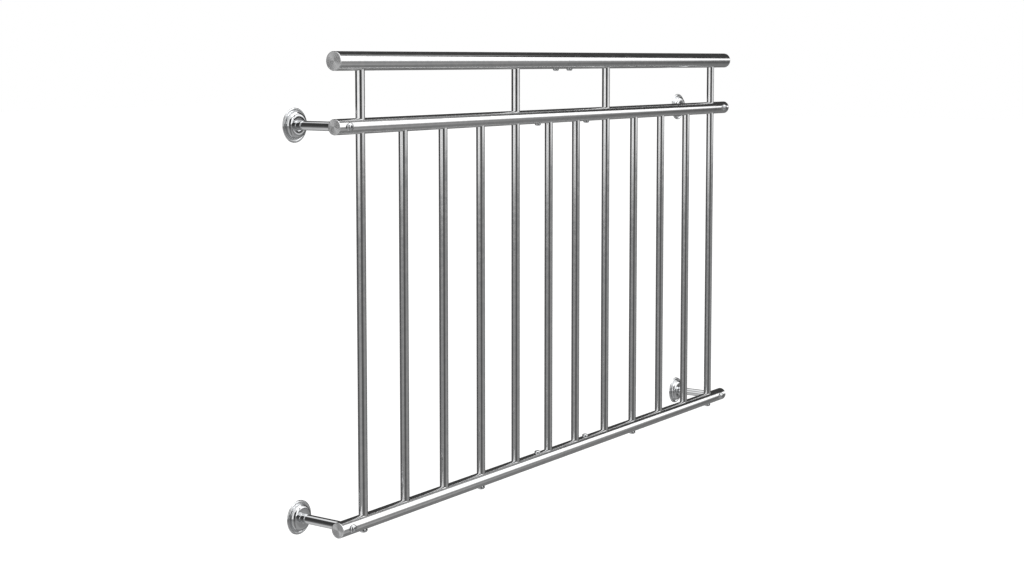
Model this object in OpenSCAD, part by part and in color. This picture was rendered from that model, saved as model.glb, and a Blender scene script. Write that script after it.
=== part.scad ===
// Juliet balcony: a railing of round stainless tube that hangs on four wall brackets.
// Millimetres, +Z up. The wall is the plane y = 0 and the railing stands off it towards -Y.
// The origin is the centre of the lower left wall plate, on its back face.

/* [Overall] */
// Length of the rails, end caps included
overall_length = 1624; // [1200:1:2600]
// Height from the underside of the bottom rail to the top of the handrail
overall_height = 961; // [700:1:1200]
// Distance from the wall to the axis of the rails
wall_distance = 129; // [80:1:240]

/* [Rails] */
// Outside diameter of the handrail
handrail_d = 38.1; // [30:0.1:60]
// Outside diameter of the middle and bottom rails
rail_d = 31.8; // [26:0.1:50]
// Wall of the rail tubes
rail_wall = 1.2; // [1:0.1:2.5]
// Height of the handrail axis above the middle rail axis
middle_rail_drop = 128; // [90:1:250]
// Gap left where the two halves of a rail meet
seam_gap = 0.3; // [0.1:0.1:1]

/* [Bars] */
// Outside diameter of the balusters and posts
bar_d = 19; // [12:0.5:26]
// Wall of the baluster and post tubes
bar_wall = 1.0; // [0.8:0.1:2]
// Distance between the two bars beside the centre joint
centre_pitch = 117; // [90:1:140]
// Distance from the end of a rail to the axis of the outer post
post_inset = 78.5; // [60:0.5:150]
// Gap all round a bar in its drilled hole
hole_clearance = 0.15; // [0.1:0.05:0.5]
// Length of the plug inside a bar foot
foot_plug_length = 22; // [15:1:40]

/* [Joint sleeves] */
// Length of the sleeve inside the handrail joint
handrail_sleeve_length = 90; // [70:1:160]
// Length of the sleeves inside the middle and bottom rail joints
rail_sleeve_length = 250; // [220:1:300]
// Wall of the sleeves
sleeve_wall = 2.5; // [2:0.1:4]
// Gap all round a sleeve or a cap spigot inside its tube
sleeve_clearance = 0.1; // [0.05:0.05:0.3]
// Distance of a handrail joint screw from the seam
handrail_screw_offset = 29; // [20:1:40]
// Distance of a middle or bottom rail joint screw from the seam
rail_screw_offset = 104; // [90:1:110]

/* [End caps] */
// Thickness of the cap disc outside the tube
cap_thickness = 2.5; // [1.5:0.1:6]
// Bevel round the edge of the cap disc
cap_bevel = 0.7; // [0.3:0.1:1.2]
// Length of the cap spigot inside the tube
cap_spigot = 10; // [6:1:16]
// Wall of the cap spigot
cap_spigot_wall = 2; // [1.5:0.1:3]

/* [Wall brackets] */
// Distance from the end of a rail to the bracket axis
bracket_inset = 28; // [24:0.5:40]
// Outside diameter of the stand-off tube
arm_d = 19; // [16:0.5:26]
// Wall of the stand-off tube
arm_wall = 2; // [1.5:0.1:3]
// Length of the threaded plug in the front end of the stand-off
arm_plug_length = 28; // [20:1:40]
// Gap between the shaped end of the stand-off and the rail
saddle_clearance = 0.05; // [0.05:0.05:0.2]
// Diameter of the wall plate under the cover
plate_d = 46; // [42:1:46]
// Thickness of the wall plate
plate_t = 4; // [3:0.5:5]
// Number of fixing holes in the wall plate
plate_holes = 3; // [3:1:4]
// Diameter of the fixing hole circle
plate_hole_circle = 33; // [32:1:34]
// Diameter of a fixing hole
plate_hole_d = 5.5; // [5:0.1:6]

/* [Wall covers] */
// Outside diameter of the cover rim
cover_d = 70; // [68:0.5:80]
// Height of the cover over the wall
cover_h = 12.5; // [11:0.5:20]
// Thickness of the pressed sheet
cover_sheet = 1.2; // [0.8:0.1:1.6]
// Diameter at the foot of the raised dome
dome_d = 55; // [53:0.5:58]
// Radius that rounds the shoulder of the dome
shoulder_r = 8; // [5:0.5:9]
// Height of the rim's bevelled edge
rim_h = 2.8; // [2:0.1:4]
// Width of the rim's bevelled edge
rim_bevel = 2; // [1:0.1:3]
// Gap between the cover rim and the wall
cover_lift = 0.3; // [0.1:0.1:1]
// Gap between the cover and the stand-off
cover_clearance = 0.15; // [0.1:0.05:0.5]

/* [Screws] */
// Thread diameter of the bracket bolts and foot screws
bolt_d = 10; // [8:1:10]
// Head diameter of the bracket bolts and foot screws
bolt_head_d = 17.5; // [14:0.5:20]
// Head height of the bracket bolts and foot screws
bolt_head_h = 5.5; // [4:0.1:7]
// Hexagon socket of the bracket bolts and foot screws, across the flats
bolt_socket = 6; // [5:0.5:7]
// Thread diameter of the joint screws
screw_d = 8; // [6:1:8]
// Head diameter of the joint screws
screw_head_d = 14; // [10.5:0.5:15]
// Head height of the joint screws
screw_head_h = 4.4; // [3:0.1:5]
// Hexagon socket of the joint screws, across the flats
screw_socket = 5; // [4:0.5:6]
// Gap all round a thread in its tapped hole
thread_clearance = 0.05; // [0.05:0.05:0.15]
// Gap all round a screw in its plain hole
plain_clearance = 0.2; // [0.1:0.05:0.5]
// Gap between a screw head or a bar end and the tube it bears on
seat_clearance = 0.05; // [0.05:0.05:0.2]
// Length of bolt thread held in a bracket plug or a bar foot
bolt_engagement = 16; // [10:1:20]

/* [Hidden] */
$fn = 64;
overrun = 1;
steel = [0.82, 0.83, 0.84];
cap_steel = [0.55, 0.56, 0.57];
inner_steel = [0.66, 0.67, 0.68];
screw_steel = [0.74, 0.75, 0.76];

rail_r = rail_d / 2;
handrail_r = handrail_d / 2;
bar_r = bar_d / 2;
rail_bore_r = rail_r - rail_wall;
handrail_bore_r = handrail_r - rail_wall;
arm_r = arm_d / 2;
bolt_r = bolt_d / 2;
screw_r = screw_d / 2;

centre_x = overall_length / 2 - bracket_inset;
rail_y = -wall_distance;
bottom_z = 0;
handrail_z = overall_height - rail_r - handrail_r;
middle_z = handrail_z - middle_rail_drop;

// Bars are counted outwards from the joint at the centre of the railing, six a side.
bars_a_side = 6;
inner_post = 2;
outer_post = bars_a_side;
screwed_baluster = 3;
first_offset = centre_pitch / 2;
last_offset = overall_length / 2 - post_inset;
bar_pitch = (last_offset - first_offset) / (bars_a_side - 1);
function bar_offset(place) = first_offset + (place - 1) * bar_pitch;

// A flat bar end rests on the curved inside of a rail at this distance from the rail axis.
function seat(bore_r) = sqrt(pow(bore_r, 2) - pow(bar_r, 2)) - seat_clearance;
rail_seat = seat(rail_bore_r);
handrail_seat = seat(handrail_bore_r);

half_tube = overall_length / 2 - cap_thickness - seam_gap / 2;
bar_hole_r = bar_r + hole_clearance;
bolt_hole_r = bolt_r + plain_clearance;
screw_hole_r = screw_r + plain_clearance;
all_offsets = [for (place = [1 : bars_a_side]) bar_offset(place)];
post_offsets = [bar_offset(inner_post), bar_offset(outer_post)];
foot_offsets = [bar_offset(screwed_baluster), bar_offset(outer_post)];
sleeve_offsets = [bar_offset(1)];
bracket_offset = overall_length / 2 - bracket_inset;

// Puts a shape drawn round the origin on a rail axis, side -1 left or +1 right.
module at_rail(z, offset = 0) {
    translate([centre_x + offset, rail_y, z])
        children();
}

module along_x(side = 1) {
    rotate([0, 90 * side, 0])
        children();
}

// Drill through the upper wall (up 1) or the lower wall (up -1) of a tube that lies along X.
module wall_drill(r, reach, up) {
    mirror([0, 0, up > 0 ? 0 : 1])
        cylinder(r = r, h = reach + overrun);
}

// Half of a rail: a tube drilled for bars and screws below and above, and across for a bracket bolt.
// Bars are offsets from the seam, and screws are pairs of an offset and a hole radius.
module rail_half(side, z, outer_r, bars_low, bars_high, screws_low, screws_high, bolted) {
    color(steel)
        at_rail(z)
            difference() {
                translate([side * seam_gap / 2, 0, 0])
                    along_x(side)
                        cylinder(r = outer_r, h = half_tube);
                translate([side * (seam_gap / 2 - overrun), 0, 0])
                    along_x(side)
                        cylinder(r = outer_r - rail_wall, h = half_tube + 2 * overrun);
                for (x = bars_low)
                    translate([side * x, 0, 0])
                        wall_drill(bar_hole_r, outer_r, -1);
                for (x = bars_high)
                    translate([side * x, 0, 0])
                        wall_drill(bar_hole_r, outer_r, 1);
                for (screw = screws_low)
                    translate([side * screw[0], 0, 0])
                        wall_drill(screw[1], outer_r, -1);
                for (screw = screws_high)
                    translate([side * screw[0], 0, 0])
                        wall_drill(screw[1], outer_r, 1);
                if (bolted)
                    translate([side * bracket_offset, 0, 0])
                        rotate([90, 0, 0])
                            cylinder(r = bolt_hole_r, h = 2 * (outer_r + overrun), center = true);
            }
}

module handrail_half(side) {
    rail_half(side, handrail_z, handrail_r,
        post_offsets, [], [[handrail_screw_offset, screw_hole_r]], [], false);
}

module middle_rail_half(side) {
    rail_half(side, middle_z, rail_r,
        all_offsets, post_offsets, [[rail_screw_offset, screw_hole_r]], [], true);
}

module bottom_rail_half(side) {
    rail_half(side, bottom_z, rail_r,
        [], all_offsets, [for (x = foot_offsets) [x, bolt_hole_r]],
        [[rail_screw_offset, screw_hole_r]], true);
}

// Sleeve inside a rail joint, tapped for its two screws.
module joint_sleeve(z, bore_r, length, screw_offset, up, bars) {
    sleeve_r = bore_r - sleeve_clearance;
    color(inner_steel)
        at_rail(z)
            difference() {
                along_x()
                    cylinder(r = sleeve_r, h = length, center = true);
                along_x()
                    cylinder(r = sleeve_r - sleeve_wall, h = length + 2 * overrun, center = true);
                for (side = [-1, 1]) {
                    translate([side * screw_offset, 0, 0])
                        wall_drill(screw_r, sleeve_r, up);
                    for (x = bars)
                        translate([side * x, 0, 0])
                            cylinder(r = bar_hole_r, h = 2 * (sleeve_r + overrun), center = true);
                }
            }
}

// End cap: a bevelled disc with a spigot that plugs into the tube.
module end_cap(side, z, outer_r) {
    spigot_r = outer_r - rail_wall - sleeve_clearance;
    color(cap_steel)
        at_rail(z, side * (overall_length / 2 - cap_thickness))
            along_x(side)
                rotate_extrude()
                    polygon([
                        [0, 0],
                        [spigot_r - cap_spigot_wall, 0],
                        [spigot_r - cap_spigot_wall, -cap_spigot],
                        [spigot_r, -cap_spigot],
                        [spigot_r, 0],
                        [outer_r, 0],
                        [outer_r, cap_thickness - cap_bevel],
                        [outer_r - cap_bevel, cap_thickness],
                        [0, cap_thickness]
                    ]);
}

// Upright tube from the bottom rail; a screwed one has a tapped plug in its foot.
module bar(side, place, top, screwed) {
    foot = bottom_z - rail_seat;
    color(steel)
        at_rail(foot, side * bar_offset(place))
            difference() {
                cylinder(r = bar_r, h = top - foot);
                translate([0, 0, screwed ? foot_plug_length : -overrun])
                    cylinder(r = bar_r - bar_wall, h = top - foot + 2 * overrun);
                if (screwed)
                    translate([0, 0, -overrun])
                        cylinder(r = bolt_r, h = foot_plug_length + 2 * overrun);
            }
}

module post(side, place) {
    bar(side, place, handrail_z + handrail_seat, place == outer_post);
}

module baluster(side, place) {
    bar(side, place, middle_z + rail_seat, place == screwed_baluster);
}

// Moves a shape drawn on the wall, facing +Z, to a bracket position.
module at_bracket(side, z, lift = 0) {
    translate([centre_x + side * bracket_offset, -lift, z])
        rotate([90, 0, 0])
            children();
}

// Wall bracket: a drilled plate with a stand-off tube shaped to sit round the back of the rail.
module arm(side, z) {
    tube_end = wall_distance - rail_r - arm_plug_length;
    color(steel)
        at_bracket(side, z)
            difference() {
                union() {
                    cylinder(r = plate_d / 2, h = plate_t);
                    cylinder(r = arm_r, h = wall_distance);
                }
                translate([0, 0, wall_distance])
                    along_x()
                        cylinder(r = rail_r + saddle_clearance, h = 4 * arm_r, center = true);
                translate([0, 0, plate_t])
                    cylinder(r = arm_r - arm_wall, h = tube_end - plate_t);
                translate([0, 0, tube_end - overrun])
                    cylinder(r = bolt_r, h = wall_distance - tube_end);
                for (turn = [0 : 360 / plate_holes : 359])
                    rotate([0, 0, turn + 90])
                        translate([plate_hole_circle / 2, 0, -overrun])
                            cylinder(r = plate_hole_d / 2, h = plate_t + 2 * overrun);
            }
}

// Quarter round from the side of a dome, at its widest, to its top.
function quarter(centre, r, steps = 10) =
    [for (i = [0 : steps]) centre + r * [cos(90 * i / steps), sin(90 * i / steps)]];

function reversed(points) = [for (i = [len(points) - 1 : -1 : 0]) points[i]];

// Pressed cover over the wall plate, spun round the stand-off: bevelled rim, flat ring and dome.
module cover(side, z) {
    bore_r = arm_r + cover_clearance;
    rim_r = cover_d / 2;
    ring_r = rim_r - rim_bevel;
    dome_r = dome_d / 2;
    shoulder = [dome_r - shoulder_r, cover_h - shoulder_r];
    outside = concat(
        [[rim_r, 0], [ring_r, rim_h], [dome_r, rim_h]],
        quarter(shoulder, shoulder_r),
        [[bore_r, cover_h]]
    );
    inside = concat(
        [
            [rim_r - cover_sheet, 0],
            [ring_r - cover_sheet, rim_h - cover_sheet],
            [dome_r - cover_sheet, rim_h - cover_sheet]
        ],
        quarter(shoulder, shoulder_r - cover_sheet),
        [[bore_r, cover_h - cover_sheet]]
    );
    color(steel)
        at_bracket(side, z, cover_lift)
            rotate_extrude($fn = 96)
                polygon(concat(outside, reversed(inside)));
}

// Button-head screw with a hexagon socket, its head above z = 0 and its thread below.
head_lip_share = 0.12;
head_crown_share = 0.5;
socket_depth_share = 0.55;
module button_screw(head_d, head_h, socket, thread_r, length) {
    head_r = head_d / 2;
    lip = head_h * head_lip_share;
    crown_r = head_r * head_crown_share;
    socket_depth = head_h * socket_depth_share;
    dome = [
        for (a = [0 : 15 : 90])
            [crown_r + (head_r - crown_r) * cos(a), lip + (head_h - lip) * sin(a)]
    ];
    color(screw_steel)
        difference() {
            union() {
                rotate_extrude()
                    polygon(concat([[0, 0], [head_r, 0]], dome, [[0, head_h]]));
                translate([0, 0, -length])
                    cylinder(r = thread_r - thread_clearance, h = length + lip);
            }
            translate([0, 0, head_h - socket_depth])
                cylinder(r = socket / 2 / cos(30), h = socket_depth + overrun, $fn = 6);
        }
}

// Bolt through the front of a rail into the plug of the stand-off behind it.
module bracket_bolt(side, z) {
    at_bracket(side, z, wall_distance + rail_r + seat_clearance)
        button_screw(bolt_head_d, bolt_head_h, bolt_socket, bolt_r, 2 * rail_r + bolt_engagement);
}

// A pair of short screws, one each side of a seam, on top of a rail (up 1) or under it (up -1).
module joint_screws(z, outer_r, offset, up) {
    for (side = [-1, 1])
        at_rail(z, side * offset)
            rotate([up > 0 ? 0 : 180, 0, 0])
                translate([0, 0, outer_r + seat_clearance])
                    button_screw(screw_head_d, screw_head_h, screw_socket, screw_r,
                        rail_wall + sleeve_clearance + sleeve_wall + seat_clearance);
}

module foot_screws() {
    for (side = [-1, 1])
        for (x = foot_offsets)
            at_rail(bottom_z, side * x)
                rotate([180, 0, 0])
                    translate([0, 0, rail_r + seat_clearance])
                        button_screw(bolt_head_d, bolt_head_h, bolt_socket, bolt_r,
                            rail_r - rail_seat + bolt_engagement);
}

module handrail_left() { handrail_half(-1); }
module handrail_right() { handrail_half(1); }
module handrail_sleeve() {
    joint_sleeve(handrail_z, handrail_bore_r, handrail_sleeve_length, handrail_screw_offset, -1, []);
}
module middle_rail_left() { middle_rail_half(-1); }
module middle_rail_right() { middle_rail_half(1); }
module middle_rail_sleeve() {
    joint_sleeve(middle_z, rail_bore_r, rail_sleeve_length, rail_screw_offset, -1, sleeve_offsets);
}
module bottom_rail_left() { bottom_rail_half(-1); }
module bottom_rail_right() { bottom_rail_half(1); }
module bottom_rail_sleeve() {
    joint_sleeve(bottom_z, rail_bore_r, rail_sleeve_length, rail_screw_offset, 1, sleeve_offsets);
}
module handrail_cap_left() { end_cap(-1, handrail_z, handrail_r); }
module handrail_cap_right() { end_cap(1, handrail_z, handrail_r); }
module middle_rail_cap_left() { end_cap(-1, middle_z, rail_r); }
module middle_rail_cap_right() { end_cap(1, middle_z, rail_r); }
module bottom_rail_cap_left() { end_cap(-1, bottom_z, rail_r); }
module bottom_rail_cap_right() { end_cap(1, bottom_z, rail_r); }
module outer_post_left() { post(-1, outer_post); }
module inner_post_left() { post(-1, inner_post); }
module inner_post_right() { post(1, inner_post); }
module outer_post_right() { post(1, outer_post); }
module baluster_2() { baluster(-1, 5); }
module baluster_3() { baluster(-1, 4); }
module baluster_4() { baluster(-1, 3); }
module baluster_6() { baluster(-1, 1); }
module baluster_7() { baluster(1, 1); }
module baluster_9() { baluster(1, 3); }
module baluster_10() { baluster(1, 4); }
module baluster_11() { baluster(1, 5); }
module upper_left_arm() { arm(-1, middle_z); }
module upper_right_arm() { arm(1, middle_z); }
module lower_left_arm() { arm(-1, bottom_z); }
module lower_right_arm() { arm(1, bottom_z); }
module upper_left_cover() { cover(-1, middle_z); }
module upper_right_cover() { cover(1, middle_z); }
module lower_left_cover() { cover(-1, bottom_z); }
module lower_right_cover() { cover(1, bottom_z); }
module upper_left_bolt() { bracket_bolt(-1, middle_z); }
module upper_right_bolt() { bracket_bolt(1, middle_z); }
module lower_left_bolt() { bracket_bolt(-1, bottom_z); }
module lower_right_bolt() { bracket_bolt(1, bottom_z); }
module handrail_joint_screws() {
    joint_screws(handrail_z, handrail_r, handrail_screw_offset, -1);
}
module middle_rail_joint_screws() {
    joint_screws(middle_z, rail_r, rail_screw_offset, -1);
}
module bottom_rail_joint_screws() {
    joint_screws(bottom_z, rail_r, rail_screw_offset, 1);
}

handrail_left();
handrail_right();
handrail_sleeve();
middle_rail_left();
middle_rail_right();
middle_rail_sleeve();
bottom_rail_left();
bottom_rail_right();
bottom_rail_sleeve();
handrail_cap_left();
handrail_cap_right();
middle_rail_cap_left();
middle_rail_cap_right();
bottom_rail_cap_left();
bottom_rail_cap_right();
outer_post_left();
inner_post_left();
inner_post_right();
outer_post_right();
baluster_2();
baluster_3();
baluster_4();
baluster_6();
baluster_7();
baluster_9();
baluster_10();
baluster_11();
upper_left_arm();
upper_right_arm();
lower_left_arm();
lower_right_arm();
upper_left_cover();
upper_right_cover();
lower_left_cover();
lower_right_cover();
upper_left_bolt();
upper_right_bolt();
lower_left_bolt();
lower_right_bolt();
handrail_joint_screws();
middle_rail_joint_screws();
bottom_rail_joint_screws();
foot_screws();
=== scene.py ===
import math

import bpy
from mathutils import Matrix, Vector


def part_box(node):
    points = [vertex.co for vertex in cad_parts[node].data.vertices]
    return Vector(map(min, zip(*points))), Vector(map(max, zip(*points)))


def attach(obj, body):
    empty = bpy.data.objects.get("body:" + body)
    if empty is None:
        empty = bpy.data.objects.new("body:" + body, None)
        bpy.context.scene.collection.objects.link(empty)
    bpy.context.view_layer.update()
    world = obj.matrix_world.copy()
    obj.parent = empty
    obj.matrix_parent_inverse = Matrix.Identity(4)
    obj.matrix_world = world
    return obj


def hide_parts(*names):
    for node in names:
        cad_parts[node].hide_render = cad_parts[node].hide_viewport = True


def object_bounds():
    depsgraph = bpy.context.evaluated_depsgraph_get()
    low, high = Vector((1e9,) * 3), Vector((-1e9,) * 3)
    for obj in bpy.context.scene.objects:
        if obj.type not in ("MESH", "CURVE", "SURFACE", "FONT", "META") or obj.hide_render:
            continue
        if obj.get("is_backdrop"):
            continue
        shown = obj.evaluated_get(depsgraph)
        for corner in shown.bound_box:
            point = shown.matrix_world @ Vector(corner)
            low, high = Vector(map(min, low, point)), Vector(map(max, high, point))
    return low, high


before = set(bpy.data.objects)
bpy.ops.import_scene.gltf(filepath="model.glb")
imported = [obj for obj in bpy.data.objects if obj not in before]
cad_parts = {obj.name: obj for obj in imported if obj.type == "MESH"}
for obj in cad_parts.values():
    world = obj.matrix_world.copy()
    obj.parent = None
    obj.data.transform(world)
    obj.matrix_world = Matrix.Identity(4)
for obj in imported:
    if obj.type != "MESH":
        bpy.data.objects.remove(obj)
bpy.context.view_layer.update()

WHITE = (1.0, 1.0, 1.0, 1.0)
TUBE_STEEL = (0.80, 0.81, 0.82, 1.0)
BRACKET_STEEL = (0.78, 0.79, 0.80, 1.0)
SCREW_STEEL = (0.72, 0.73, 0.74, 1.0)
TURNED_STEEL = (0.96, 0.965, 0.97, 1.0)
SLEEVE_STEEL = (0.55, 0.56, 0.57, 1.0)

FLOOR_DROP = 0.30
FLOOR_SIZE = 60.0
MM = 0.001

# Button-head screws: head radius and height, width of the hexagon socket, thread radius.
M10 = {"radius": 8.75 * MM, "height": 5.5 * MM, "socket": 6.0 * MM, "thread": 4.95 * MM}
M8 = {"radius": 7.0 * MM, "height": 4.4 * MM, "socket": 5.0 * MM, "thread": 3.95 * MM}

RAILS = ("handrail", "middle_rail", "bottom_rail")
BRACKETS = ("upper_left", "upper_right", "lower_left", "lower_right")


# ---------------------------------------------------------------- camera

def make_camera():
    data = bpy.data.cameras.new("camera")
    data.lens = 57.505
    data.sensor_width = 36.0
    data.shift_y = -0.09
    data.clip_end = 200.0
    camera = bpy.data.objects.new("camera", data)
    bpy.context.scene.collection.objects.link(camera)
    look_down = math.radians(4.771)
    turn = math.radians(34.778)
    camera.location = (-2.4343, -2.2196, 0.9292)
    camera.rotation_euler = (math.pi / 2 - look_down, 0.0, turn - math.pi / 2)
    bpy.context.scene.camera = camera


# ---------------------------------------------------------------- node helpers

class Graph:
    """Adds nodes to a node tree and links them by socket name."""

    def __init__(self, tree):
        self.tree = tree
        tree.nodes.clear()

    def put(self, value, socket):
        if isinstance(value, bpy.types.NodeSocket):
            self.tree.links.new(value, socket)
        else:
            socket.default_value = value

    def node(self, kind, inputs=None, **settings):
        new = self.tree.nodes.new(kind)
        for name, value in settings.items():
            setattr(new, name, value)
        for name, value in (inputs or {}).items():
            self.put(value, new.inputs[name])
        return new

    def math(self, operation, *values):
        new = self.node("ShaderNodeMath", operation=operation)
        for number, value in enumerate(values):
            self.put(value, new.inputs[number])
        return new.outputs[0]

    def step(self, value, low, high, out_low=0.0, out_high=1.0):
        """A smooth step from out_low at low to out_high at high."""
        new = self.node("ShaderNodeMapRange", interpolation_type="SMOOTHSTEP")
        for name, number in (
            ("Value", value), ("From Min", low), ("From Max", high),
            ("To Min", out_low), ("To Max", out_high),
        ):
            self.put(number, new.inputs[name])
        return new.outputs["Result"]

    def place_group(self, tree, inputs):
        new = self.node("ShaderNodeGroup", node_tree=tree)
        for name, value in inputs.items():
            self.put(value, new.inputs[name])
        return new


def new_group(name, inputs, outputs):
    """An empty shader node group with named sockets; returns its graph and its two ends."""
    tree = bpy.data.node_groups.new(name, "ShaderNodeTree")
    for socket, kind in inputs.items():
        tree.interface.new_socket(socket, in_out="INPUT", socket_type=kind)
    for socket, kind in outputs.items():
        tree.interface.new_socket(socket, in_out="OUTPUT", socket_type=kind)
    graph = Graph(tree)
    return graph, graph.node("NodeGroupInput"), graph.node("NodeGroupOutput")


# ---------------------------------------------------------------- studio

def light_panel_group():
    """A soft-edged panel in the sky, by azimuth, half width, lowest and highest elevation, in degrees."""
    number = "NodeSocketFloat"
    names = ("Azimuth", "Elevation", "Centre", "Half Width", "Low", "High", "Edge", "Brightness")
    graph, given, result = new_group("light_panel", dict.fromkeys(names, number), {"Light": number})
    value = given.outputs
    away = graph.math("SUBTRACT", value["Azimuth"], value["Centre"])
    away = graph.math("ABSOLUTE", graph.math("WRAP", away, 180.0, -180.0))
    faded = graph.math("ADD", value["Half Width"], value["Edge"])
    side = graph.step(away, value["Half Width"], faded, 1.0, 0.0)
    under = graph.step(value["Elevation"], graph.math("SUBTRACT", value["Low"], value["Edge"]), value["Low"])
    top = graph.math("ADD", value["High"], value["Edge"])
    over = graph.step(value["Elevation"], value["High"], top, 1.0, 0.0)
    inside = graph.math("MULTIPLY", graph.math("MULTIPLY", side, under), over)
    graph.put(graph.math("MULTIPLY", inside, value["Brightness"]), result.inputs["Light"])
    return graph.tree


# Centre azimuth, half width, lowest and highest elevation and soft edge in degrees, then brightness.
PANELS = (
    (-61, 36, 3, 46, 2, 1.3),
    (-18, 8, 34, 48, 3, 0.28),
    (-62, 33, -2, 1, 2, 0.6),
    (176, 28, -2, 44, 4, 0.9),
    (0, 180, 50, 90, 7, 0.9),
    (178, 30, -90, -4, 3, 0.20),
    (-64, 32, -90, -4, 8, 0.16),
    (0, 180, -90, -30, 18, 0.10),
    (110, 34, -90, -38, 18, 0.36),
)
SKY_GLOW = 0.05
GROUND_GLOW = 0.10


def make_world():
    world = bpy.data.worlds.new("studio")
    world.use_nodes = True
    bpy.context.scene.world = world
    graph = Graph(world.node_tree)
    direction = graph.node("ShaderNodeTexCoord").outputs["Generated"]
    parts = graph.node("ShaderNodeSeparateXYZ", {"Vector": direction})
    azimuth = graph.math("DEGREES", graph.math("ARCTAN2", parts.outputs["Y"], parts.outputs["X"]))
    elevation = graph.math("DEGREES", graph.math("ARCSINE", parts.outputs["Z"]))
    glow = graph.step(elevation, -4.0, -1.0, GROUND_GLOW, SKY_GLOW)
    tree = light_panel_group()
    for centre, half_width, low, high, edge, brightness in PANELS:
        panel = graph.place_group(tree, {
            "Azimuth": azimuth, "Elevation": elevation, "Centre": centre, "Half Width": half_width,
            "Low": low, "High": high, "Edge": edge, "Brightness": brightness,
        })
        glow = graph.math("ADD", glow, panel.outputs["Light"])
    seen = graph.node("ShaderNodeLightPath").outputs["Is Camera Ray"]
    studio = graph.node("ShaderNodeBackground", {"Color": WHITE, "Strength": glow})
    backdrop = graph.node("ShaderNodeBackground", {"Color": WHITE, "Strength": 1.0})
    mix = graph.node("ShaderNodeMixShader", {0: seen, 1: studio.outputs[0], 2: backdrop.outputs[0]})
    graph.node("ShaderNodeOutputWorld", {"Surface": mix.outputs[0]})


def make_floor():
    low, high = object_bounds()
    middle = (low + high) / 2
    start()
    bpy.ops.mesh.primitive_plane_add(size=FLOOR_SIZE, location=(middle.x, middle.y, low.z - FLOOR_DROP))
    floor = bpy.context.object
    floor.name = "floor"
    material = bpy.data.materials.new("pale_floor")
    material.use_nodes = True
    graph = Graph(material.node_tree)
    path = graph.node("ShaderNodeLightPath").outputs
    matt = graph.node("ShaderNodeBsdfDiffuse", {"Color": (0.6, 0.6, 0.6, 1.0)})
    glow = graph.node("ShaderNodeEmission", {"Color": WHITE, "Strength": 1.55})
    share = graph.math("MULTIPLY", path["Is Camera Ray"], 0.6)
    pale = graph.node("ShaderNodeMixShader", {0: share, 1: matt.outputs[0], 2: glow.outputs[0]})
    clear = graph.node("ShaderNodeBsdfTransparent")
    both = graph.node(
        "ShaderNodeMixShader", {0: path["Is Glossy Ray"], 1: pale.outputs[0], 2: clear.outputs[0]})
    graph.node("ShaderNodeOutputMaterial", {"Surface": both.outputs[0]})
    floor.data.materials.append(material)
    floor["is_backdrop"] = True


def make_lamp():
    low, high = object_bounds()
    middle = (low + high) / 2
    data = bpy.data.lights.new("top_softbox", "AREA")
    data.shape = "RECTANGLE"
    data.size = 3.0
    data.size_y = 2.0
    data.energy = 30.0
    lamp = bpy.data.objects.new("top_softbox", data)
    lamp.location = (middle.x, middle.y - 0.6, high.z + 2.6)
    lamp.visible_camera = False
    bpy.context.scene.collection.objects.link(lamp)


# ---------------------------------------------------------------- materials

def polish_group():
    """Handling haze, cloudy tint and faint ripple on polished steel, from object coordinates."""
    graph, given, result = new_group(
        "polish",
        {
            "Vector": "NodeSocketVector", "Clean Roughness": "NodeSocketFloat",
            "Hazy Roughness": "NodeSocketFloat", "Haze Scale": "NodeSocketFloat",
            "Colour": "NodeSocketColor", "Haze Colour": "NodeSocketColor",
        },
        {"Colour": "NodeSocketColor", "Roughness": "NodeSocketFloat", "Height": "NodeSocketFloat"},
    )
    value = given.outputs
    cloud = graph.node(
        "ShaderNodeTexNoise",
        {"Vector": value["Vector"], "Scale": value["Haze Scale"], "Detail": 5.0, "Roughness": 0.62},
    )
    haze = graph.step(cloud.outputs["Fac"], 0.46, 0.74)
    fine = graph.node("ShaderNodeTexNoise", {"Vector": value["Vector"], "Scale": 420.0, "Detail": 2.0})
    speckle = graph.math("MULTIPLY", graph.step(fine.outputs["Fac"], 0.55, 0.8), 0.25)
    mask = graph.math("MINIMUM", graph.math("ADD", haze, speckle), 1.0)
    rough = graph.node(
        "ShaderNodeMapRange",
        {"Value": mask, "To Min": value["Clean Roughness"], "To Max": value["Hazy Roughness"]},
    )
    tint = graph.node("ShaderNodeMix", data_type="RGBA")
    graph.put(haze, tint.inputs["Factor"])
    graph.put(value["Colour"], tint.inputs[6])
    graph.put(value["Haze Colour"], tint.inputs[7])
    ripple = graph.node("ShaderNodeTexNoise", {"Vector": value["Vector"], "Scale": 14.0, "Detail": 1.0})
    graph.put(tint.outputs[2], result.inputs["Colour"])
    graph.put(rough.outputs["Result"], result.inputs["Roughness"])
    graph.put(ripple.outputs["Fac"], result.inputs["Height"])
    return graph.tree


def fine_scratches_group():
    """Sparse hairline scratches from handling, drawn out along one direction by the stretch."""
    graph, given, result = new_group(
        "fine_scratches",
        {"Vector": "NodeSocketVector", "Stretch": "NodeSocketVector", "Amount": "NodeSocketFloat"},
        {"Mask": "NodeSocketFloat"},
    )
    value = given.outputs
    drawn = graph.node("ShaderNodeVectorMath", operation="MULTIPLY")
    graph.put(value["Vector"], drawn.inputs[0])
    graph.put(value["Stretch"], drawn.inputs[1])
    lines = graph.node("ShaderNodeTexNoise", {"Vector": drawn.outputs[0], "Scale": 1.0, "Detail": 2.0})
    thin = graph.step(lines.outputs["Fac"], 0.64, 0.70)
    graph.put(graph.math("MULTIPLY", thin, value["Amount"]), result.inputs["Mask"])
    return graph.tree


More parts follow.
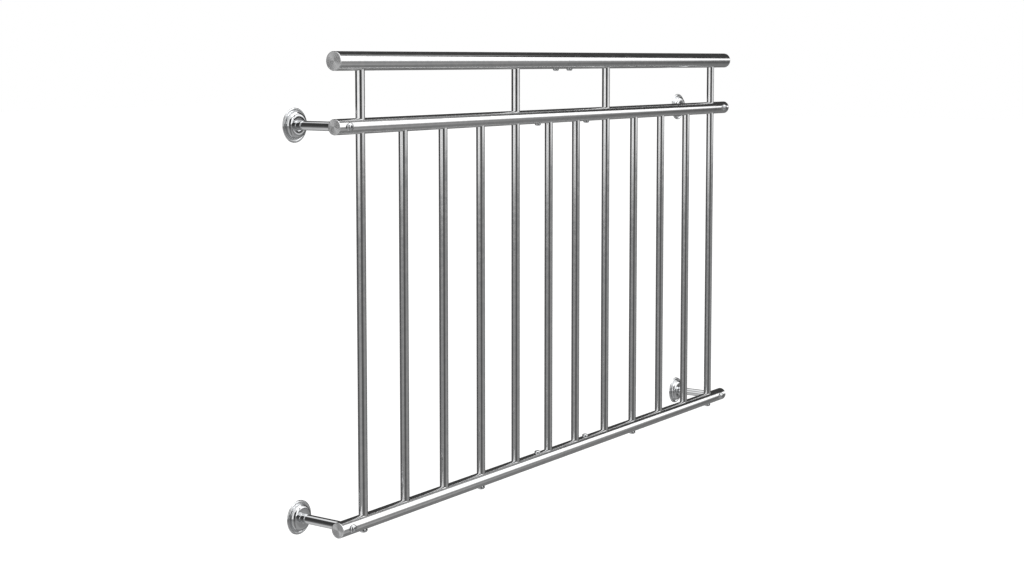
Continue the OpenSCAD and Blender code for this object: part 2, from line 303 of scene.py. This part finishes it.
def edge_wear_and_highlight_group():
    """Convex outer edges found by pointiness, broken up by noise: 1 on an edge, 0 on a flat face; used as
    rubbed wear in roughness and as a painted edge highlight in colour.
    """
    graph, given, result = new_group(
        "edge_wear_and_highlight",
        {"Vector": "NodeSocketVector", "Amount": "NodeSocketFloat"},
        {"Mask": "NodeSocketFloat"},
    )
    value = given.outputs
    edge = graph.step(graph.node("ShaderNodeNewGeometry").outputs["Pointiness"], 0.53, 0.62)
    patches = graph.node("ShaderNodeTexNoise", {"Vector": value["Vector"], "Scale": 90.0, "Detail": 3.0})
    broken = graph.math("MULTIPLY", edge, graph.step(patches.outputs["Fac"], 0.35, 0.6, 0.3, 1.0))
    graph.put(graph.math("MULTIPLY", broken, value["Amount"]), result.inputs["Mask"])
    return graph.tree


def darker(colour, share):
    return tuple(channel * share for channel in colour[:3]) + (1.0,)


def worn_and_highlit_surface(graph, groups, place, colour, clean, hazy, scale, stretch):
    """Colour, roughness and height of handled steel: polish haze, then scratches, then rubbed edges, which
    are rougher and whose colour is brightened as a painted edge highlight.
    """
    polish = graph.place_group(groups["polish"], {
        "Vector": place, "Clean Roughness": clean, "Hazy Roughness": hazy, "Haze Scale": scale,
        "Colour": colour, "Haze Colour": darker(colour, 0.94),
    }).outputs
    scratches = graph.place_group(
        groups["scratches"], {"Vector": place, "Stretch": stretch, "Amount": 0.05}).outputs["Mask"]
    wear_and_highlight = graph.place_group(groups["wear_and_highlight"], {"Vector": place, "Amount": 1.0}).outputs["Mask"]
    rough = graph.math("ADD", polish["Roughness"], scratches)
    rough = graph.math("ADD", rough, graph.math("MULTIPLY", wear_and_highlight, 0.06))
    # Painted edge highlight: the colour turns a lighter grey on convex edges, as if light caught them.
    tint = graph.node("ShaderNodeMix", data_type="RGBA")
    graph.put(wear_and_highlight, tint.inputs["Factor"])
    graph.put(polish["Colour"], tint.inputs[6])
    graph.put((0.9, 0.9, 0.9, 1.0), tint.inputs[7])
    return tint.outputs[2], rough, polish["Height"]


def polished(name, groups, colour, clean, hazy, scale, ripple, stretch):
    material = bpy.data.materials.new(name)
    material.use_nodes = True
    graph = Graph(material.node_tree)
    place = graph.node("ShaderNodeTexCoord").outputs["Object"]
    shade, rough, height = worn_and_highlit_surface(graph, groups, place, colour, clean, hazy, scale, stretch)
    bump = graph.node("ShaderNodeBump", {"Height": height, "Strength": 1.0, "Distance": ripple})
    shader = graph.node("ShaderNodeBsdfPrincipled", {
        "Base Color": shade, "Metallic": 1.0, "Roughness": rough, "Normal": bump.outputs[0],
    })
    graph.node("ShaderNodeOutputMaterial", {"Surface": shader.outputs[0]})
    return material


def turned(name, groups, colour):
    """Lathe-turned end face: rings round the middle of the piece's own UV, with radial streaks."""
    material = bpy.data.materials.new(name)
    material.use_nodes = True
    graph = Graph(material.node_tree)
    coordinates = graph.node("ShaderNodeTexCoord").outputs
    flat = graph.node("ShaderNodeSeparateXYZ", {"Vector": coordinates["UV"]}).outputs
    across = graph.math("MULTIPLY", flat["X"], flat["X"])
    up = graph.math("MULTIPLY", flat["Y"], flat["Y"])
    radius = graph.math("POWER", graph.math("ADD", across, up), 0.5)
    rings = graph.node("ShaderNodeTexNoise", {"Scale": 24.0, "Detail": 2.0}, noise_dimensions="1D")
    graph.put(radius, rings.inputs["W"])
    face = graph.step(radius, 0.93, 0.96, 1.0, 0.0)
    tone, roughness, _ = worn_and_highlit_surface(
        graph, groups, coordinates["Object"], colour, 0.44, 0.54, 60.0, (300.0, 300.0, 40.0))
    shade = graph.node("ShaderNodeMix", data_type="RGBA", blend_type="MULTIPLY")
    graph.put(face, shade.inputs["Factor"])
    graph.put(tone, shade.inputs[6])
    ring_tone = graph.node("ShaderNodeCombineColor")
    for channel in ring_tone.inputs:
        graph.put(graph.step(rings.outputs["Fac"], 0.3, 0.7, 0.92, 1.02), channel)
    graph.put(ring_tone.outputs[0], shade.inputs[7])
    rough = graph.math("MULTIPLY", roughness, graph.step(face, 0.0, 1.0, 0.35, 1.0))
    bump = graph.node("ShaderNodeBump", {
        "Height": graph.math("MULTIPLY", rings.outputs["Fac"], face), "Strength": 1.0, "Distance": 0.00006,
    })
    shader = graph.node("ShaderNodeBsdfPrincipled", {
        "Base Color": shade.outputs[2], "Metallic": 1.0, "Roughness": rough, "Anisotropic": 0.7,
        "Normal": bump.outputs[0],
    })
    tangent = graph.node("ShaderNodeTangent", direction_type="RADIAL", axis="X")
    graph.put(tangent.outputs[0], shader.inputs["Tangent"])
    graph.node("ShaderNodeOutputMaterial", {"Surface": shader.outputs[0]})
    return material


def make_materials():
    groups = {
        "polish": polish_group(), "scratches": fine_scratches_group(), "wear_and_highlight": edge_wear_and_highlight_group(),
    }
    along = (260.0, 260.0, 30.0)
    even = (320.0, 320.0, 90.0)
    return {
        "polished_tube": polished("tube_polish", groups, TUBE_STEEL, 0.03, 0.075, 7.0, 0.00012, along),
        "bracket_steel": polished("bracket_polish", groups, BRACKET_STEEL, 0.04, 0.10, 24.0, 0.00008, even),
        "brushed_end": turned("turned_end", groups, TURNED_STEEL),
        "screw_steel": polished("screw_polish", groups, SCREW_STEEL, 0.08, 0.16, 60.0, 0.0001, even),
        "inner_steel": polished("sleeve_steel", groups, SLEEVE_STEEL, 0.25, 0.38, 20.0, 0.0002, even),
    }


# ---------------------------------------------------------------- modelling helpers

def start(piece=None):
    """Leaves edit mode and selects only this piece, or nothing."""
    if bpy.context.object and bpy.context.object.mode != "OBJECT":
        bpy.ops.object.mode_set(mode="OBJECT")
    bpy.ops.object.select_all(action="DESELECT")
    if piece:
        piece.select_set(True)
        bpy.context.view_layer.objects.active = piece


def pick_faces(piece, wanted):
    """Selects the faces whose centre and normal pass the test, in edit mode."""
    bpy.ops.object.mode_set(mode="EDIT")
    bpy.ops.mesh.select_mode(type="FACE")
    bpy.ops.mesh.select_all(action="DESELECT")
    bpy.ops.object.mode_set(mode="OBJECT")
    for face in piece.data.polygons:
        face.select = wanted(face.center, face.normal)
    bpy.ops.object.mode_set(mode="EDIT")


def pick_edges(piece, wanted):
    """Selects the edges whose two ends pass the test, in edit mode."""
    bpy.ops.object.mode_set(mode="EDIT")
    bpy.ops.mesh.select_mode(type="EDGE")
    bpy.ops.mesh.select_all(action="DESELECT")
    bpy.ops.object.mode_set(mode="OBJECT")
    points = piece.data.vertices
    for edge in piece.data.edges:
        edge.select = all(wanted(points[end].co) for end in edge.vertices)
    bpy.ops.object.mode_set(mode="EDIT")


def freeze(piece):
    start(piece)
    bpy.ops.object.transform_apply(location=True, rotation=True, scale=True)


def soften(piece, degrees):
    start(piece)
    bpy.ops.object.shade_smooth_by_angle(angle=math.radians(degrees))


def copy_of(model, name, location, rotation=(0.0, 0.0, 0.0)):
    start(model)
    bpy.ops.object.duplicate()
    piece = bpy.context.object
    piece.name = name
    piece.data.name = name
    piece.location = location
    piece.rotation_euler = rotation
    freeze(piece)
    return piece


def join(pieces, name):
    start(pieces[0])
    for piece in pieces:
        piece.select_set(True)
    bpy.ops.object.join()
    joined = bpy.context.object
    joined.name = name
    joined.data.name = name
    return joined


def finish_piece(piece, node, material):
    piece.data.materials.clear()
    piece.data.materials.append(material)
    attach(piece, "root")
    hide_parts(node)


# ---------------------------------------------------------------- wall covers

def arc(centre, radius, first, last, steps):
    """Points of an arc in the profile plane, from the first angle to the last, in degrees."""
    turns = [math.radians(first + (last - first) * step / steps) for step in range(steps + 1)]
    return [(centre[0] + radius * math.cos(t), centre[1] + radius * math.sin(t)) for t in turns]


def cover_profile(rim, height, bore):
    """Half section of the pressed cover as radius and height: outside from the rim in, then back inside."""
    sheet = 1.2 * MM
    bead = 2.6 * MM
    dome = 27.4 * MM
    shoulder = 8.0 * MM
    groove = 2.3 * MM
    top = height - shoulder
    outside = [(rim, 0.0), (rim, 1.0 * MM)]
    outside += arc((rim - bead, 1.0 * MM), bead, 15, 90, 6)
    outside += [(dome + 2.6 * MM, 3.1 * MM), (dome + 1.2 * MM, groove), (dome + 0.3 * MM, groove)]
    outside += [(dome, groove + 0.4 * MM)] + arc((dome - shoulder, top), shoulder, 0, 90, 14)
    outside += [(bore + 0.8 * MM, height), (bore, height - 0.3 * MM)]
    inside = [(bore, height - sheet)] + arc((dome - shoulder, top), shoulder - sheet, 90, 0, 8)
    inside += [(dome - sheet, groove - 0.9 * MM), (rim - bead, 1.8 * MM)]
    inside += [(rim - sheet, 0.8 * MM), (rim - sheet, 0.0)]
    return outside + inside


def make_covers(material):
    low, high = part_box("lower_left_cover")
    middle = (low + high) / 2
    rim = (high.x - low.x) / 2
    profile = cover_profile(rim, high.y - low.y, 9.65 * MM)
    start()
    bpy.ops.mesh.primitive_circle_add(
        vertices=96, radius=profile[0][0], location=(middle.x, high.y, middle.z),
        rotation=(math.pi / 2, 0.0, 0.0),
    )
    cover = bpy.context.object
    cover.name = "cover_model"
    freeze(cover)
    bpy.ops.object.mode_set(mode="EDIT")
    bpy.ops.mesh.select_all(action="SELECT")
    for (radius, height), (next_radius, next_height) in zip(profile, profile[1:] + profile[:1]):
        bpy.ops.mesh.extrude_region_move(TRANSFORM_OT_translate={"value": (0.0, height - next_height, 0.0)})
        ratio = next_radius / radius
        bpy.ops.transform.resize(value=(ratio, 1.0, ratio), center_override=tuple(middle))
    bpy.ops.mesh.select_all(action="SELECT")
    bpy.ops.mesh.remove_doubles(threshold=0.00002)
    bpy.ops.mesh.normals_make_consistent(inside=False)
    soften(cover, 28)
    for bracket in BRACKETS:
        node = bracket + "_cover"
        spot_low, spot_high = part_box(node)
        spot = (spot_low + spot_high) / 2 - middle
        piece = copy_of(cover, bracket + "_wall_cover", spot)
        finish_piece(piece, node, material)
    bpy.data.objects.remove(cover)


# ---------------------------------------------------------------- end caps

def cap_model(radius, thickness, spigot_radius, spigot_length):
    start()
    bpy.ops.mesh.primitive_cylinder_add(
        vertices=96, radius=radius, depth=thickness, location=(0.0, 0.0, thickness / 2))
    cap = bpy.context.object
    freeze(cap)
    pick_edges(cap, lambda at: at.z > thickness - 0.1 * MM)
    bpy.ops.mesh.bevel(offset=0.7 * MM, segments=4, profile=0.6)
    pick_faces(cap, lambda at, out: out.z > 0.9999)
    bpy.ops.mesh.inset(thickness=0.5 * MM, depth=0.0)
    bpy.ops.mesh.inset(thickness=0.15 * MM, depth=0.0)
    bpy.ops.transform.translate(value=(0.0, 0.0, -0.12 * MM))
    pick_faces(cap, lambda at, out: out.z < -0.9999)
    bpy.ops.mesh.inset(thickness=radius - spigot_radius, depth=0.0)
    bpy.ops.mesh.extrude_region_move(TRANSFORM_OT_translate={"value": (0.0, 0.0, -spigot_length)})
    bpy.ops.mesh.inset(thickness=2.0 * MM, depth=0.0)
    bpy.ops.mesh.extrude_region_move(TRANSFORM_OT_translate={"value": (0.0, 0.0, spigot_length)})
    soften(cap, 25)
    layer = cap.data.uv_layers.active or cap.data.uv_layers.new()
    for corner in cap.data.loops:
        at = cap.data.vertices[corner.vertex_index].co
        layer.data[corner.index].uv = (at.x / radius, at.y / radius)
    return cap


def make_caps(material):
    for rail in RAILS:
        low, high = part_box(rail + "_cap_left")
        tube_low, tube_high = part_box(rail + "_left")
        radius = (high.z - low.z) / 2
        thickness = tube_low.x - low.x
        model = cap_model(radius, thickness, radius - 1.3 * MM, high.x - tube_low.x)
        for side, turn in (("left", -1), ("right", 1)):
            node = rail + "_cap_" + side
            cap_low, cap_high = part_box(node)
            middle = (cap_low + cap_high) / 2
            inner = cap_low.x + thickness if turn < 0 else cap_high.x - thickness
            piece = copy_of(model, rail + "_end_cap_" + side, (inner, middle.y, middle.z),
                            (0.0, turn * math.pi / 2, 0.0))
            finish_piece(piece, node, material)
        bpy.data.objects.remove(model)


# ---------------------------------------------------------------- screws

def screw_model(radius, height, socket, thread, length):
    """Button head above z = 0 with a hexagon socket, and a plain shank below it."""
    start()
    bpy.ops.mesh.primitive_cylinder_add(
        vertices=64, radius=radius, depth=height, location=(0.0, 0.0, height / 2))
    head = bpy.context.object
    freeze(head)
    pick_edges(head, lambda at: at.z > height - 0.1 * MM)
    bpy.ops.mesh.bevel(offset=height * 0.84, segments=12, profile=0.5)
    start()
    depth = height * 0.55
    bpy.ops.mesh.primitive_cylinder_add(
        vertices=6, radius=socket / 2 / math.cos(math.pi / 6), depth=2 * depth, location=(0.0, 0.0, height))
    key = bpy.context.object
    freeze(key)
    start(head)
    cut = head.modifiers.new("socket", "BOOLEAN")
    cut.object = key
    cut.operation = "DIFFERENCE"
    cut.solver = "EXACT"
    bpy.ops.object.modifier_apply(modifier=cut.name)
    bpy.data.objects.remove(key)
    start()
    bpy.ops.mesh.primitive_cylinder_add(
        vertices=32, radius=thread, depth=length, location=(0.0, 0.0, 0.4 * MM - length / 2))
    shank = bpy.context.object
    freeze(shank)
    screw = join([head, shank], "screw_model")
    soften(screw, 30)
    return screw


def make_screws(material):
    bolt = screw_model(length=47.0 * MM, **M10)
    for bracket in BRACKETS:
        node = bracket + "_bolt"
        low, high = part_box(node)
        middle = (low + high) / 2
        seat = (middle.x, low.y + M10["height"], middle.z)
        piece = copy_of(bolt, bracket + "_bracket_bolt", seat, (math.pi / 2, 0.0, 0.0))
        finish_piece(piece, node, material)
    bpy.data.objects.remove(bolt)

    foot = screw_model(length=18.0 * MM, **M10)
    low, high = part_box("foot_screws")
    copies = []
    for bar in ("outer_post_left", "baluster_4", "baluster_9", "outer_post_right"):
        bar_low, bar_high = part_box(bar)
        spot = (bar_low + bar_high) / 2
        seat = (spot.x, spot.y, low.z + M10["height"])
        copies.append(copy_of(foot, "foot_screw", seat, (math.pi, 0.0, 0.0)))
    finish_piece(join(copies, "foot_screw_set"), "foot_screws", material)
    bpy.data.objects.remove(foot)

    short = screw_model(length=3.8 * MM, **M8)
    for rail in RAILS:
        node = rail + "_joint_screws"
        low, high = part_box(node)
        middle = (low + high) / 2
        rail_low, rail_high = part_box(rail + "_left")
        above = middle.z > (rail_low.z + rail_high.z) / 2
        seat = high.z - M8["height"] if above else low.z + M8["height"]
        turn = 0.0 if above else math.pi
        copies = [
            copy_of(short, "joint_screw", (x, middle.y, seat), (turn, 0.0, 0.0))
            for x in (low.x + M8["radius"], high.x - M8["radius"])
        ]
        finish_piece(join(copies, rail + "_joint_screw_pair"), node, material)
    bpy.data.objects.remove(short)


# ---------------------------------------------------------------- scene

def dress(materials):
    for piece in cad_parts.values():
        for slot in piece.material_slots:
            slot.material = materials[slot.material.name]


make_camera()
make_world()
make_floor()
make_lamp()
materials = make_materials()
dress(materials)
make_covers(materials["bracket_steel"])
make_caps(materials["brushed_end"])
make_screws(materials["screw_steel"])

bpy.context.scene.view_settings.view_transform = "Standard"
